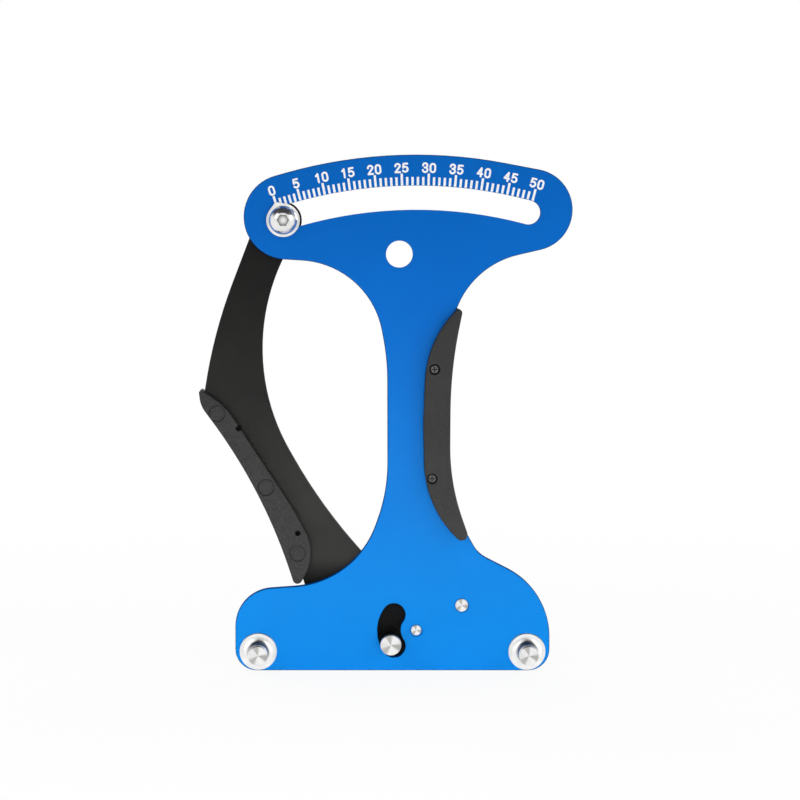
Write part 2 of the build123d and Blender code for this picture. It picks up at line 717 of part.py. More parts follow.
def spring_anchor_pin():
    back = COIL_END + WIRE_RADIUS + PIN_PAST_WIRE
    pin = round_bar(ANCHOR_X, ANCHOR_Z, ANCHOR_PIN_RADIUS, PLATE_FRONT - ANCHOR_PIN_PROUD, back)
    collar_back = PLATE_BACK + ANCHOR_COLLAR_THICK
    return pin + round_bar(ANCHOR_X, ANCHOR_Z, ANCHOR_COLLAR_RADIUS, PLATE_BACK, collar_back)


def stop_pin_place():
    along = math.radians(MOVING_LEG_ANGLE)
    across = along + QUARTER_TURN
    offset = COIL_RADIUS + WIRE_RADIUS + STOP_PIN_RADIUS + SPRING_REST_GAP
    x = PIVOT_X + MOVING_LEG_TO_PIN * math.cos(along) + offset * math.cos(across)
    z = PIVOT_Z + MOVING_LEG_TO_PIN * math.sin(along) + offset * math.sin(across)
    return x, z


def spring_stop_pin():
    x, z = stop_pin_place()
    shank = round_bar(x, z, STOP_PIN_SHANK_RADIUS, LEVER_FRONT, LEVER_BACK)
    return shank + round_bar(x, z, STOP_PIN_RADIUS, LEVER_BACK, COIL_START + WIRE_RADIUS + PIN_PAST_WIRE)


# ---------------------------------------------------------------- lever and pointer

def lever_outline():
    hub = (PIVOT_X, PIVOT_Z, LEVER_HUB_RADIUS, BULGE)
    return [*carried([LEVER_END, *LEVER_RIGHT_SIDE]), hub, *carried(LEVER_LEFT_SIDE)]


def lever_arm():
    arm = slab(belt(lever_outline()), LEVER_FRONT, LEVER_BACK)
    arm = fillet(rims(arm, LEVER_FRONT) + rims(arm, LEVER_BACK), LEVER_EDGE_ROUND)
    arm -= round_bar(PIVOT_X, PIVOT_Z, BUSH_RADIUS + PRESS_GAP, LEVER_FRONT, LEVER_BACK)
    arm -= round_bar(POINTER_X, POINTER_Z, POINTER_SCREW_RADIUS + SCREW_GAP, LEVER_FRONT, LEVER_BACK)
    post_x, post_z = round_pivot(MOVING_POST_RADIUS, MOVING_POST_ANGLE)
    post_hole = MOVING_POST_SCREW_RADIUS + SCREW_GAP
    arm -= round_bar(post_x, post_z, post_hole, LEVER_FRONT, LEVER_BACK)
    arm -= countersink(post_x, post_z, post_hole, MOVING_POST_SCREW_HEAD_RADIUS + SCREW_GAP, LEVER_BACK)
    stop_x, stop_z = stop_pin_place()
    arm -= round_bar(stop_x, stop_z, STOP_PIN_SHANK_RADIUS + PRESS_GAP, LEVER_FRONT, LEVER_BACK)
    for screw_x, screw_z in carried(LEVER_GRIP_SCREWS):
        arm -= round_bar(screw_x, screw_z, GRIP_SCREW_RADIUS + SCREW_GAP, LEVER_FRONT, LEVER_BACK)
    return arm


def pointer():
    lean = math.radians(POINTER_ANGLE - POINTER_TOOTH_LEAN)
    tooth = POINTER_TOOTH_REACH - POINTER_TOOTH_ROUND
    tooth_x = POINTER_X + tooth * math.sin(lean)
    tooth_z = POINTER_Z + tooth * math.cos(lean)
    face = belt([
        (POINTER_X, POINTER_Z, POINTER_DISC_RADIUS, BULGE),
        (tooth_x, tooth_z, POINTER_TOOTH_ROUND, BULGE),
    ])
    face -= disc(POINTER_X, POINTER_Z, POINTER_SCREW_RADIUS + SCREW_GAP)
    return slab(face, POINTER_FRONT, POINTER_BACK)


def dome_shoulder(rim):
    """The point halfway along a spherical dome from the head's rim to its crown."""
    rise = BUTTON_HEAD_HEIGHT - BUTTON_HEAD_RIM
    sunk = (BUTTON_HEAD_RADIUS ** 2 - BUTTON_TOP_RADIUS ** 2 - rise ** 2) / (2 * rise)
    dome_radius = math.hypot(BUTTON_HEAD_RADIUS, sunk)
    rim_angle = math.atan2(BUTTON_HEAD_RADIUS, sunk)
    crown_angle = math.atan2(BUTTON_TOP_RADIUS, rise + sunk)
    angle = (rim_angle + crown_angle) / 2
    return dome_radius * math.sin(angle), rim + sunk - dome_radius * math.cos(angle)


def pointer_screw():
    crown = POINTER_FRONT - BUTTON_HEAD_HEIGHT
    rim = POINTER_FRONT - BUTTON_HEAD_RIM
    end = NUT_BACK + SCREW_PAST_NUT
    profile = [
        Polyline(
            (0, end),
            (POINTER_SCREW_RADIUS - PIN_CHAMFER, end),
            (POINTER_SCREW_RADIUS, end - PIN_CHAMFER),
            (POINTER_SCREW_RADIUS, POINTER_FRONT),
            (BUTTON_HEAD_RADIUS, POINTER_FRONT),
            (BUTTON_HEAD_RADIUS, rim),
        ),
        ThreePointArc((BUTTON_HEAD_RADIUS, rim), dome_shoulder(rim), (BUTTON_TOP_RADIUS, crown)),
        Polyline((BUTTON_TOP_RADIUS, crown), (0, crown), (0, end)),
    ]
    socket = Pos(POINTER_X, POINTER_Z) * RegularPolygon(HEX_KEY / 2, 6, major_radius=False)
    return turned(POINTER_X, POINTER_Z, profile) - slab(socket, crown, crown + HEX_DEPTH)


def pointer_spacer():
    bore = POINTER_SCREW_RADIUS + PRESS_GAP
    return ring(POINTER_X, POINTER_Z, SPACER_RADIUS, bore, POINTER_BACK, LEVER_FRONT)


def pointer_washer():
    bore = POINTER_SCREW_RADIUS + SCREW_GAP
    return ring(POINTER_X, POINTER_Z, NUT_WASHER_RADIUS, bore, LEVER_BACK, NUT_WASHER_BACK)


def pointer_nut():
    hexagon = Pos(POINTER_X, POINTER_Z) * RegularPolygon(NUT_ACROSS_FLATS / 2, 6, major_radius=False)
    corner = NUT_ACROSS_FLATS / math.sqrt(3)
    cone = turned(POINTER_X, POINTER_Z, Polyline(
        (0, NUT_WASHER_BACK),
        (corner, NUT_WASHER_BACK),
        (corner, NUT_BACK - NUT_CHAMFER / 2),
        (corner - NUT_CHAMFER, NUT_BACK),
        (0, NUT_BACK),
        close=True,
    ))
    bore = POINTER_SCREW_RADIUS + PRESS_GAP
    nut = slab(hexagon, NUT_WASHER_BACK, NUT_BACK) & cone
    return nut - round_bar(POINTER_X, POINTER_Z, bore, NUT_WASHER_BACK, NUT_BACK)


# ---------------------------------------------------------------- grips

def grip_half(circles, outer, inner):
    """One half of a grip from its outer face to the sheet that it lies on."""
    front = min(outer, inner)
    back = max(outer, inner)
    half = slab(belt(circles), front, back)
    return fillet(rims(half, outer), GRIP_EDGE_ROUND)


def edge_cover(circles, sheet_circles, front, back):
    """The strip of a grip that closes the sheet's edge between the two halves."""
    return slab(belt(circles) - belt(grown(sheet_circles, SLIDE_GAP)), front, back)


def headed_half(half, places, outer, inner):
    """A grip half with a counterbore for each screw head."""
    inward = math.copysign(1, inner - outer)
    seat = outer + inward * (GRIP_SCREW_SUNK + GRIP_SCREW_HEAD_HEIGHT)
    for x, z in places:
        half -= round_bar(x, z, GRIP_SCREW_RADIUS + SCREW_GAP, min(outer, inner), max(outer, inner))
        half -= round_bar(x, z, COUNTERBORE_RADIUS, min(outer, seat), max(outer, seat))
    return half


def threaded_half(half, places, outer, inner):
    """A grip half that the screws bite into."""
    for x, z in places:
        half -= round_bar(x, z, GRIP_SCREW_RADIUS + PRESS_GAP, min(outer, inner), max(outer, inner))
    return half


def marked_half(half, places, outer, inner):
    """A grip half with the round marks of its mould."""
    inward = math.copysign(1, inner - outer)
    floor = outer + inward * MOULD_MARK_DEPTH
    for x, z in places:
        half -= round_bar(x, z, MOULD_MARK_RADIUS, min(outer, floor), max(outer, floor))
    return half


def grip_screws(places, head_side, tip_side):
    """Cross-headed screws from one outer face of a grip towards the other."""
    inward = math.copysign(1, tip_side - head_side)
    head = head_side + inward * GRIP_SCREW_SUNK
    seat = head + inward * GRIP_SCREW_HEAD_HEIGHT
    tip = tip_side - inward * GRIP_SCREW_SHORT
    floor = head + inward * CROSS_DEPTH
    screws = []
    for x, z in places:
        screw = round_bar(x, z, GRIP_SCREW_RADIUS, min(head, tip), max(head, tip))
        screw += round_bar(x, z, GRIP_SCREW_HEAD_RADIUS, min(head, seat), max(head, seat))
        screws.append(screw - cross_recess(x, z, min(head, floor), max(head, floor)))
    return Compound(screws)


def body_grip_front():
    half = grip_half(carried(BODY_GRIP), BODY_GRIP_FACE, PLATE_FRONT)
    return headed_half(half, carried(BODY_GRIP_SCREWS), BODY_GRIP_FACE, PLATE_FRONT)


def body_grip_rear():
    half = grip_half(carried(BODY_GRIP), BODY_GRIP_REAR, PLATE_BACK)
    half = marked_half(half, carried(BODY_GRIP_MARKS), BODY_GRIP_REAR, PLATE_BACK)
    half = threaded_half(half, carried(BODY_GRIP_SCREWS), BODY_GRIP_REAR, PLATE_BACK)
    return half + edge_cover(carried(BODY_GRIP), plate_outline(), PLATE_FRONT, PLATE_BACK)


def lever_grip_front():
    half = grip_half(carried(LEVER_GRIP), LEVER_GRIP_FACE, LEVER_FRONT)
    half = marked_half(half, carried(LEVER_GRIP_MARKS), LEVER_GRIP_FACE, LEVER_FRONT)
    return threaded_half(half, carried(LEVER_GRIP_SCREWS), LEVER_GRIP_FACE, LEVER_FRONT)


def lever_grip_rear():
    half = grip_half(carried(LEVER_GRIP), LEVER_GRIP_REAR, LEVER_BACK)
    half = headed_half(half, carried(LEVER_GRIP_SCREWS), LEVER_GRIP_REAR, LEVER_BACK)
    return half + edge_cover(carried(LEVER_GRIP), lever_outline(), LEVER_FRONT, LEVER_BACK)


# ---------------------------------------------------------------- all pieces

PIECES = {
    "front_plate": front_plate(),
    "scale_ticks": scale_ticks(),
    "scale_numerals": scale_numerals(),
    "fixed_post_left": fixed_post(POST_LEFT),
    "fixed_post_right": fixed_post(POST_RIGHT),
    "fixed_post_screws": fixed_post_screws(),
    "pivot_pin": pivot_pin(),
    "pivot_thrust_washer": pivot_thrust_washer(),
    "spring_retaining_washer": spring_retaining_washer(),
    "pivot_circlip": pivot_circlip(),
    "spring_anchor_pin": spring_anchor_pin(),
    "torsion_spring": torsion_spring(),
    "body_grip_front": body_grip_front(),
    "body_grip_rear": body_grip_rear(),
    "body_grip_screws": grip_screws(carried(BODY_GRIP_SCREWS), BODY_GRIP_FACE, BODY_GRIP_REAR),
    "lever_arm": lever_arm(),
    "lever_bush": lever_bush(),
    "moving_post": moving_post(),
    "moving_post_screw": moving_post_screw(),
    "spring_stop_pin": spring_stop_pin(),
    "lever_grip_front": lever_grip_front(),
    "lever_grip_rear": lever_grip_rear(),
    "lever_grip_screws": grip_screws(carried(LEVER_GRIP_SCREWS), LEVER_GRIP_REAR, LEVER_GRIP_FACE),
    "pointer": pointer(),
    "pointer_screw": pointer_screw(),
    "pointer_spacer": pointer_spacer(),
    "pointer_washer": pointer_washer(),
    "pointer_nut": pointer_nut(),
}

os.makedirs("parts", exist_ok=True)
for node, piece in PIECES.items():
    export_step(piece, f"parts/{node}.step")
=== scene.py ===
import bpy
import json
import math
from mathutils import Matrix, Vector


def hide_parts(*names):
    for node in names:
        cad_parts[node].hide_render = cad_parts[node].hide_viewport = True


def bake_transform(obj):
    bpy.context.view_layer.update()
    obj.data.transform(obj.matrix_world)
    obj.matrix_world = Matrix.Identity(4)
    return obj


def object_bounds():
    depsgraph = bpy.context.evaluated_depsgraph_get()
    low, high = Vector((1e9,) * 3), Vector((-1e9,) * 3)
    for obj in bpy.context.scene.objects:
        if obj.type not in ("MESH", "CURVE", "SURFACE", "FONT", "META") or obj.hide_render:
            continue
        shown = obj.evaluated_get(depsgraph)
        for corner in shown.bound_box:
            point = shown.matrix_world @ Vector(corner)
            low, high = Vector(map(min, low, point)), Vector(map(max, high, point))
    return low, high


# Spoke tension meter. Lengths are in metres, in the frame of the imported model: +X is right, +Z is up
# and -Y is towards the viewer. The origin is the centre of the hang hole. Colours are linear red,
# green and blue. A pair of colours or of roughnesses is what a noise runs between.

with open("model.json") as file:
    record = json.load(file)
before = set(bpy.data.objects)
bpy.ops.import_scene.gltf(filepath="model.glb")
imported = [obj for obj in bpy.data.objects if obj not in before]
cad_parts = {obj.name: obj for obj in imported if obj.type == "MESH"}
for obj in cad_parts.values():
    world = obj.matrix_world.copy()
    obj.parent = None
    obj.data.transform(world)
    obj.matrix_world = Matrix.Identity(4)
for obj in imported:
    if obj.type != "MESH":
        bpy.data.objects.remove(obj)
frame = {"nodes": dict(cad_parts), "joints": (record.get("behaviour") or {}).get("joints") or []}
cad_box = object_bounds()
nodes = frame["nodes"]

# Camera: lens and sensor in millimetres, place, and how it is turned, raised and rolled
LENS = 107.84
SENSOR = 36.0
CAMERA_PLACE = Vector((-0.030755, -0.898179, 0.015952))
CAMERA_TURN = math.radians(-2.0)
CAMERA_RISE = math.radians(4.5)
CAMERA_ROLL = math.radians(0.39)

# Floor, and how much of its white is its own glow near the object and far from it
FLOOR_SIDE = 4.0
FLOOR_CELLS = 8
FLOOR_COLOUR = (0.9, 0.9, 0.9)
FLOOR_GLOW = 0.9
GLOW_NEAR = 0.22
GLOW_FAR = 0.6

# World: its light on the object, and what glossy surfaces mirror of it in front and overhead.
# The spans are parts of the direction's Y and Z.
WHITE = (1.0, 1.0, 1.0)
WORLD_FILL = 0.49
WORLD_FRONT = 0.95
FRONT_SPAN = (-0.5, 0.1)
WORLD_CEILING = 0.05
CEILING_SPAN = (0.3, 0.62)

# Lamps: name, place, point it is aimed at, width, height, power in watts, spread in degrees, and
# whether glossy surfaces mirror it
MODEL_MIDDLE = (0.0, 0.0, -0.06)
MODEL_FOOT = (0.0, 0.0, -0.2)
FULL_SPREAD = 180.0
LAMPS = [
    ("lamp_low", (-0.02, -0.5, -0.12), MODEL_FOOT, 0.6, 0.05, 0.52, 56.0, False),
    ("lamp_high_left", (-0.75, -0.75, 0.55), MODEL_MIDDLE, 0.7, 0.7, 3.0, FULL_SPREAD, True),
    ("lamp_high_right", (0.85, -0.65, 0.35), MODEL_MIDDLE, 0.6, 0.6, 2.55, FULL_SPREAD, True),
    ("lamp_rear_left", (-0.5, 0.85, 0.5), MODEL_MIDDLE, 0.8, 0.8, 4.5, FULL_SPREAD, True),
    ("lamp_rear_right", (0.65, 0.8, 0.2), MODEL_MIDDLE, 0.8, 0.8, 3.5, FULL_SPREAD, True),
]

# Noise is given as scale, detail and roughness, a relief as depth and strength, and a span as the
# values at which something starts and is full.
LOW_CLOUD_SPAN = (0.3, 0.7)
MIDDLE_CLOUD_SPAN = (0.32, 0.7)
HIGH_CLOUD_SPAN = (0.35, 0.7)
EDGE_SAMPLES = 6
OPENNESS_SAMPLES = 8

# Blue enamel, with painted light that makes its lower part lighter and greener, and painted shade on
# its rounded edges and sides. The rounding and the side are told by how squarely a surface faces front
# or rear.
BLUE_UPPER = ((0.0, 0.121, 0.495), (0.0, 0.13, 0.522))
BLUE_LOWER_PAINTED_LIGHT = ((0.0, 0.147, 0.468), (0.0, 0.158, 0.496))
BLUE_EDGE_PAINTED_SHADE = (0.0, 0.012, 0.07)
BLUE_SIDE_PAINTED_SHADE = (0.0, 0.07, 0.3)
BLUE_PAINTED_LIGHT_SPAN = (-0.02, -0.13)
BLUE_ROUNDING_SPAN = (0.97, 0.6)
BLUE_SIDE_SPAN = (0.4, 0.05)
BLUE_DRIFT = (26.0, 4.0, 0.5)
BLUE_FILM = (320.0, 5.0, 0.6)
BLUE_ROUGHNESS = (0.3, 0.38)
BLUE_ROUNDING_ROUGHNESS = 0.95
BLUE_SPECULAR = 0.08
BLUE_PEEL = (1500.0, 2.0, 0.5)
BLUE_RELIEF = (0.00004, 0.22)

# Black enamel: painted light makes a lighter stretch between the lever's top and its hub, and painted
# shade darkens the hub
BLACK_BASE = ((0.0035, 0.0035, 0.0037), (0.0055, 0.0053, 0.005))
BLACK_PAINTED_LIGHT = ((0.017, 0.017, 0.0162), (0.025, 0.0245, 0.0222))
BLACK_HUB_PAINTED_SHADE = (0.0012, 0.0012, 0.0015)
BELOW_TOP_SPAN = (0.01, -0.1)
ABOVE_HUB_SPAN = (-0.128, -0.114)
HUB_SHADE_SPAN = (-0.116, -0.124)
BLACK_DRIFT = (45.0, 5.0, 0.5)
BLACK_FILM = (500.0, 4.0, 0.5)
BLACK_ROUGHNESS = (0.36, 0.46)
BLACK_SPECULAR = 0.12
BLACK_GRIT = (2600.0, 3.0, 0.7)
BLACK_RELIEF = (0.00003, 0.35)
BLACK_EDGE_RADIUS = 0.0002

# Grip moulding, with painted shade in its grooves
GRIP_BASE = ((0.018, 0.018, 0.0184), (0.025, 0.025, 0.0245))
GRIP_SPECK = (0.040, 0.0395, 0.038)
GRIP_GROOVE_PAINTED_SHADE = (0.001, 0.001, 0.001)
GRIP_GRAIN = (2200.0, 4.0, 0.65)
GRIP_SPECK_SPAN = (0.4, 0.68)
GRIP_BLOOM = (60.0, 4.0, 0.5)
GRIP_REACH = 0.0008
GRIP_OPEN_SPAN = (0.35, 0.92)
GRIP_ROUGHNESS = (0.52, 0.66)
GRIP_SPECULAR = 0.2
GRIP_RELIEF = (0.00006, 0.4)
GRIP_EDGE_RADIUS = 0.00025

# Turned steel
STEEL = (0.96, 0.96, 0.955)
WASHER_STEEL = (0.6, 0.6, 0.61)
REAR_WASHER_STEEL = (0.58, 0.585, 0.6)
POINTER_STEEL = (0.88, 0.88, 0.87)
STEEL_CLOUD = (420.0, 4.0, 0.5)
STEEL_CLOUD_SHADE = 0.9
STEEL_RINGS = (4500.0, 4.0, 0.7)
POLISH = 0.28
WASHER_POLISH = 0.26
POINTER_POLISH = 0.3
RING_ROUGHENING = 0.12
STEEL_SPECULAR = 0.05
STEEL_ANISOTROPY = 0.85
STEEL_RELIEF = (0.00002, 0.25)
STEEL_EDGE_RADIUS = 0.00012

# Painted reflection: light and dark wedges on the faced end of a turned piece
STAR_WEDGES = 3.0
STAR_TURN = 0.8
STAR_SPAN = (-0.1, 0.9)
STAR_RADIUS = 0.0042
STAR_FADE = 0.0003
STAR_PAINTED_DARK = (0.5, 0.49, 0.47)

# Painted shade in the hollows of turned steel, and on the necks and shanks of the posts, behind their
# heads
POST_HEAD_BACK = -0.0092
POST_FADE = 0.0003
NECK_REACH = 0.004
NECK_OPEN_SPAN = (0.3, 0.8)
NECK_SPAN = (0.0045, 0.003)
STEEL_PAINTED_SHADE = (0.12, 0.12, 0.12)
SHANK_PAINTED_SHADE = (0.002, 0.002, 0.0022)

# Drawn wire: streaks across the tube's round and along its length
WIRE_COLOURS = ((0.34, 0.345, 0.36), (0.5, 0.5, 0.51))
WIRE_STREAKS_ROUND = 26.0
WIRE_STREAKS_ALONG = 90.0
WIRE_STREAKS = (1.0, 5.0, 0.65)
WIRE_ROUGHNESS = (0.24, 0.4)
WIRE_RELIEF = (0.00002, 0.3)

# Fine metals
BOLT_COLOURS = ((0.78, 0.78, 0.77), (0.88, 0.88, 0.87))
BOLT_ROUGHNESS = (0.17, 0.28)
BOLT_SOCKET_REACH = 0.002
ZINC_COLOURS = ((0.44, 0.45, 0.47), (0.6, 0.6, 0.6))
ZINC_ROUGHNESS = (0.26, 0.4)
BLACKED_COLOURS = ((0.002, 0.002, 0.0021), (0.004, 0.004, 0.004))
BLACKED_ROUGHNESS = (0.34, 0.46)
BLACKED_SPECULAR = 0.08
BRONZE_COLOURS = ((0.46, 0.31, 0.15), (0.56, 0.4, 0.21))
BRONZE_ROUGHNESS = (0.3, 0.42)
METAL_SPECULAR = 0.5
METAL_CLOUD = (225.0, 5.0, 0.6)
METAL_GRAIN = (1800.0, 3.0, 0.5)
METAL_RELIEF = (0.00002, 0.3)
METAL_EDGE_RADIUS = 0.00015
# Painted shade in sockets
SOCKET_OPEN_SPAN = (0.3, 0.85)
SOCKET_PAINTED_SHADE = (0.02, 0.02, 0.02)

# Screws of the right grip: steel on the flats of their heads, with painted shade in the cross and a
# painted shadow ring round the rim
HEAD_FLAT_COLOURS = ((0.1, 0.1, 0.1), (0.2, 0.2, 0.195))
RIM_SHADE_SPAN = (0.00145, 0.0012)
CROSS_SHADE_REACH = 0.0006
CROSS_SHADE_SPAN = (0.5, 0.95)
SCREW_PAINTED_SHADE = (0.002, 0.002, 0.0021)
SCREW_CLOUD = (1600.0, 4.0, 0.6)
SCREW_ROUGHNESS = (0.3, 0.42)
SCREW_SPECULAR = 0.05
SCREW_RELIEF = (0.00002, 0.3)
SCREW_EDGE_RADIUS = 0.0001

# White ink
INK_COLOURS = ((0.9, 0.91, 0.92), (0.95, 0.95, 0.95))
INK_FILM = (1400.0, 4.0, 0.5)
INK_ROUGHNESS = (0.42, 0.55)
INK_RELIEF = (0.00001, 0.3)

# Torsion spring
WIRE_RADIUS = 0.001
COIL_RADIUS = 0.007
COIL_PITCH = 0.00295
COIL_WHOLE_TURNS = 3
COIL_START = 0.0065
ANCHOR_PIN_RADIUS = 0.002375
SPRING_REST_GAP = 0.0001
MOVING_LEG_ANGLE = math.radians(135.0)
MOVING_LEG_LENGTH = 0.02
LEG_PAST_PIN = 0.005
WIRE_END_ROUND = 0.00022
WIRE_SIDES = 20
COIL_STEPS = 220
LEG_STEPS = 14
QUARTER_TURN = math.pi / 2
FULL_TURN = 2 * math.pi


# ---------------------------------------------------------------- places, from the frame

def middle_of(corners):
    """The middle of the box round some corners, on the plane y = 0."""
    across = [corner.x for corner in corners]
    up = [corner.z for corner in corners]
    return ((min(across) + max(across)) / 2, 0.0, (min(up) + max(up)) / 2)


def axis_of(name):
    """Where the axis of a round piece, which lies along Y, meets the plane y = 0."""
    return middle_of([vertex.co for vertex in nodes[name].data.vertices])


def axes_of_pair(name):
    """The axes of two round pieces that share one node, one above the other."""
    corners = [vertex.co for vertex in nodes[name].data.vertices]
    level = axis_of(name)[2]
    above = [corner for corner in corners if corner.z > level]
    below = [corner for corner in corners if corner.z <= level]
    return middle_of(above), middle_of(below)


PIVOT_X, _, PIVOT_Z = frame["joints"][0]["pos_m"]


# ---------------------------------------------------------------- node trees

class Tree:
    """A node tree of a material or the world, with one call for each kind of step."""

    def __init__(self, owner):
        owner.use_nodes = True
        self.tree = owner.node_tree
        self.tree.nodes.clear()

    def add(self, kind, **settings):
        node = self.tree.nodes.new(kind)
        for name, value in settings.items():
            setattr(node, name, value)
        return node

    def feed(self, socket, value):
        """Links a socket to another one, or sets it to a number, a vector or a colour."""
        if isinstance(value, bpy.types.NodeSocket):
            self.tree.links.new(value, socket)
        elif socket.type == "RGBA":
            socket.default_value = (*value, 1.0)
        else:
            socket.default_value = value

    def math(self, operation, first, second=0.0, clamp=False):
        node = self.add("ShaderNodeMath", operation=operation, use_clamp=clamp)
        self.feed(node.inputs[0], first)
        self.feed(node.inputs[1], second)
        return node.outputs[0]

    def vector(self, operation, first, second=(0.0, 0.0, 0.0)):
        node = self.add("ShaderNodeVectorMath", operation=operation)
        self.feed(node.inputs[0], first)
        self.feed(node.inputs[1], second)
        return node.outputs[0]

    def length(self, vector):
        node = self.add("ShaderNodeVectorMath", operation="LENGTH")
        self.feed(node.inputs[0], vector)
        return node.outputs["Value"]

    def split(self, vector):
        node = self.add("ShaderNodeSeparateXYZ")
        self.feed(node.inputs[0], vector)
        return node.outputs

    def join(self, x, y, z):
        node = self.add("ShaderNodeCombineXYZ")
        for socket, value in zip(node.inputs, (x, y, z)):
            self.feed(socket, value)
        return node.outputs[0]

    def spread(self, value, low, high, to_low=0.0, to_high=1.0):
        """A value carried from one range to another, and held at its ends."""
        node = self.add("ShaderNodeMapRange", clamp=True)
        self.feed(node.inputs["Value"], value)
        node.inputs["From Min"].default_value = low
        node.inputs["From Max"].default_value = high
        node.inputs["To Min"].default_value = to_low
        node.inputs["To Max"].default_value = to_high
        return node.outputs[0]

    def between(self, share, ends):
        """A share of nought to one carried to run between two values."""
        return self.spread(share, 0.0, 1.0, *ends)

    def blend(self, share, first, second):
        """One colour at a share of nought, and the other at one."""
        node = self.add("ShaderNodeMix", data_type="RGBA")
        self.feed(node.inputs["Factor"], share)
        colours = [socket for socket in node.inputs if socket.type == "RGBA"]
        self.feed(colours[0], first)
        self.feed(colours[1], second)
        return [socket for socket in node.outputs if socket.type == "RGBA"][0]

    def noise(self, coords, scale, detail, roughness):
        node = self.add("ShaderNodeTexNoise")
        self.feed(node.inputs["Vector"], coords)
        node.inputs["Scale"].default_value = scale
        node.inputs["Detail"].default_value = detail
        node.inputs["Roughness"].default_value = roughness
        return node.outputs["Fac"]

    def cloud(self, coords, noise, span):
        """A noise that is nought and one at the ends of a span."""
        return self.spread(self.noise(coords, *noise), *span)

    def coords(self, output="Object"):
        return self.add("ShaderNodeTexCoord").outputs[output]

    def soft_edges(self, radius):
        """The surface's normal, with sharp edges rounded to a radius."""
        node = self.add("ShaderNodeBevel", samples=EDGE_SAMPLES)
        node.inputs["Radius"].default_value = radius
        return node.outputs[0]

    def openness(self, reach):
        """One on open ground, and less in the object's own grooves and holes."""
        node = self.add("ShaderNodeAmbientOcclusion", samples=OPENNESS_SAMPLES, only_local=True)
        node.inputs["Distance"].default_value = reach
        return node.outputs["AO"]

    def bump(self, height, depth, strength, normal=None):
        node = self.add("ShaderNodeBump")
        node.inputs["Strength"].default_value = strength
        node.inputs["Distance"].default_value = depth
        self.feed(node.inputs["Height"], height)
        if normal is not None:
            self.feed(node.inputs["Normal"], normal)
        return node.outputs[0]

    def shader(self, **values):
        """The surface shader, with each named socket set or linked."""
        node = self.add("ShaderNodeBsdfPrincipled")
        for name, value in values.items():
            self.feed(node.inputs[name.replace("_", " ")], value)
        output = self.add("ShaderNodeOutputMaterial")
        self.feed(output.inputs["Surface"], node.outputs[0])


# ---------------------------------------------------------------- materials

def blue_paint():
    """Satin enamel with a faint orange peel, lighter and greener low down where light is painted, and
    with painted shade on its rounded edges and sides, which are also rougher.
    """
    material = bpy.data.materials.new("blue_enamel")
    tree = Tree(material)
    coords = tree.coords()
    facing = tree.math("ABSOLUTE", tree.split(tree.coords("Normal"))[1])
    rounding = tree.spread(facing, *BLUE_ROUNDING_SPAN)
    side = tree.spread(facing, *BLUE_SIDE_SPAN)
    drift = tree.cloud(coords, BLUE_DRIFT, LOW_CLOUD_SPAN)
    # Painted light: the colour turns lighter and greener towards the bottom of the plate.
    low = tree.spread(tree.split(coords)[2], *BLUE_PAINTED_LIGHT_SPAN)
    face = tree.blend(low, tree.blend(drift, *BLUE_UPPER), tree.blend(drift, *BLUE_LOWER_PAINTED_LIGHT))
    # Painted shade on the rounded edges.
    rounded = tree.blend(rounding, face, BLUE_EDGE_PAINTED_SHADE)
    film = tree.spread(tree.noise(coords, *BLUE_FILM), *LOW_CLOUD_SPAN, *BLUE_ROUGHNESS)
    matt = tree.math("MULTIPLY", rounding, BLUE_ROUNDING_ROUGHNESS)
    tree.shader(
        # Painted shade on the sides.
        Base_Color=tree.blend(side, rounded, BLUE_SIDE_PAINTED_SHADE),
        Roughness=tree.math("MAXIMUM", film, matt),
        Specular_IOR_Level=BLUE_SPECULAR,
        Normal=tree.bump(tree.noise(coords, *BLUE_PEEL), *BLUE_RELIEF),
    )
    return material


def black_paint():
    """Satin enamel with fine grit under the film, with painted light making it lighter between top and
    hub, and painted shade at the hub.
    """
    material = bpy.data.materials.new("black_enamel")
    tree = Tree(material)
    coords = tree.coords()
    drift = tree.cloud(coords, BLACK_DRIFT, LOW_CLOUD_SPAN)
    height = tree.split(coords)[2]
    below_top = tree.spread(height, *BELOW_TOP_SPAN)
    above_hub = tree.spread(height, *ABOVE_HUB_SPAN)
    # Painted light: lighter going down from the top, fading back above the hub.
    painted_light_band = tree.math("MULTIPLY", below_top, above_hub)
    arm = tree.blend(painted_light_band, tree.blend(drift, *BLACK_BASE), tree.blend(drift, *BLACK_PAINTED_LIGHT))
    grit = tree.noise(coords, *BLACK_GRIT)
    tree.shader(
        # Painted shade darkens the hub.
        Base_Color=tree.blend(tree.spread(height, *HUB_SHADE_SPAN), arm, BLACK_HUB_PAINTED_SHADE),
        Roughness=tree.spread(tree.noise(coords, *BLACK_FILM), *LOW_CLOUD_SPAN, *BLACK_ROUGHNESS),
        Specular_IOR_Level=BLACK_SPECULAR,
        Normal=tree.bump(grit, *BLACK_RELIEF, tree.soft_edges(BLACK_EDGE_RADIUS)),
    )
    return material


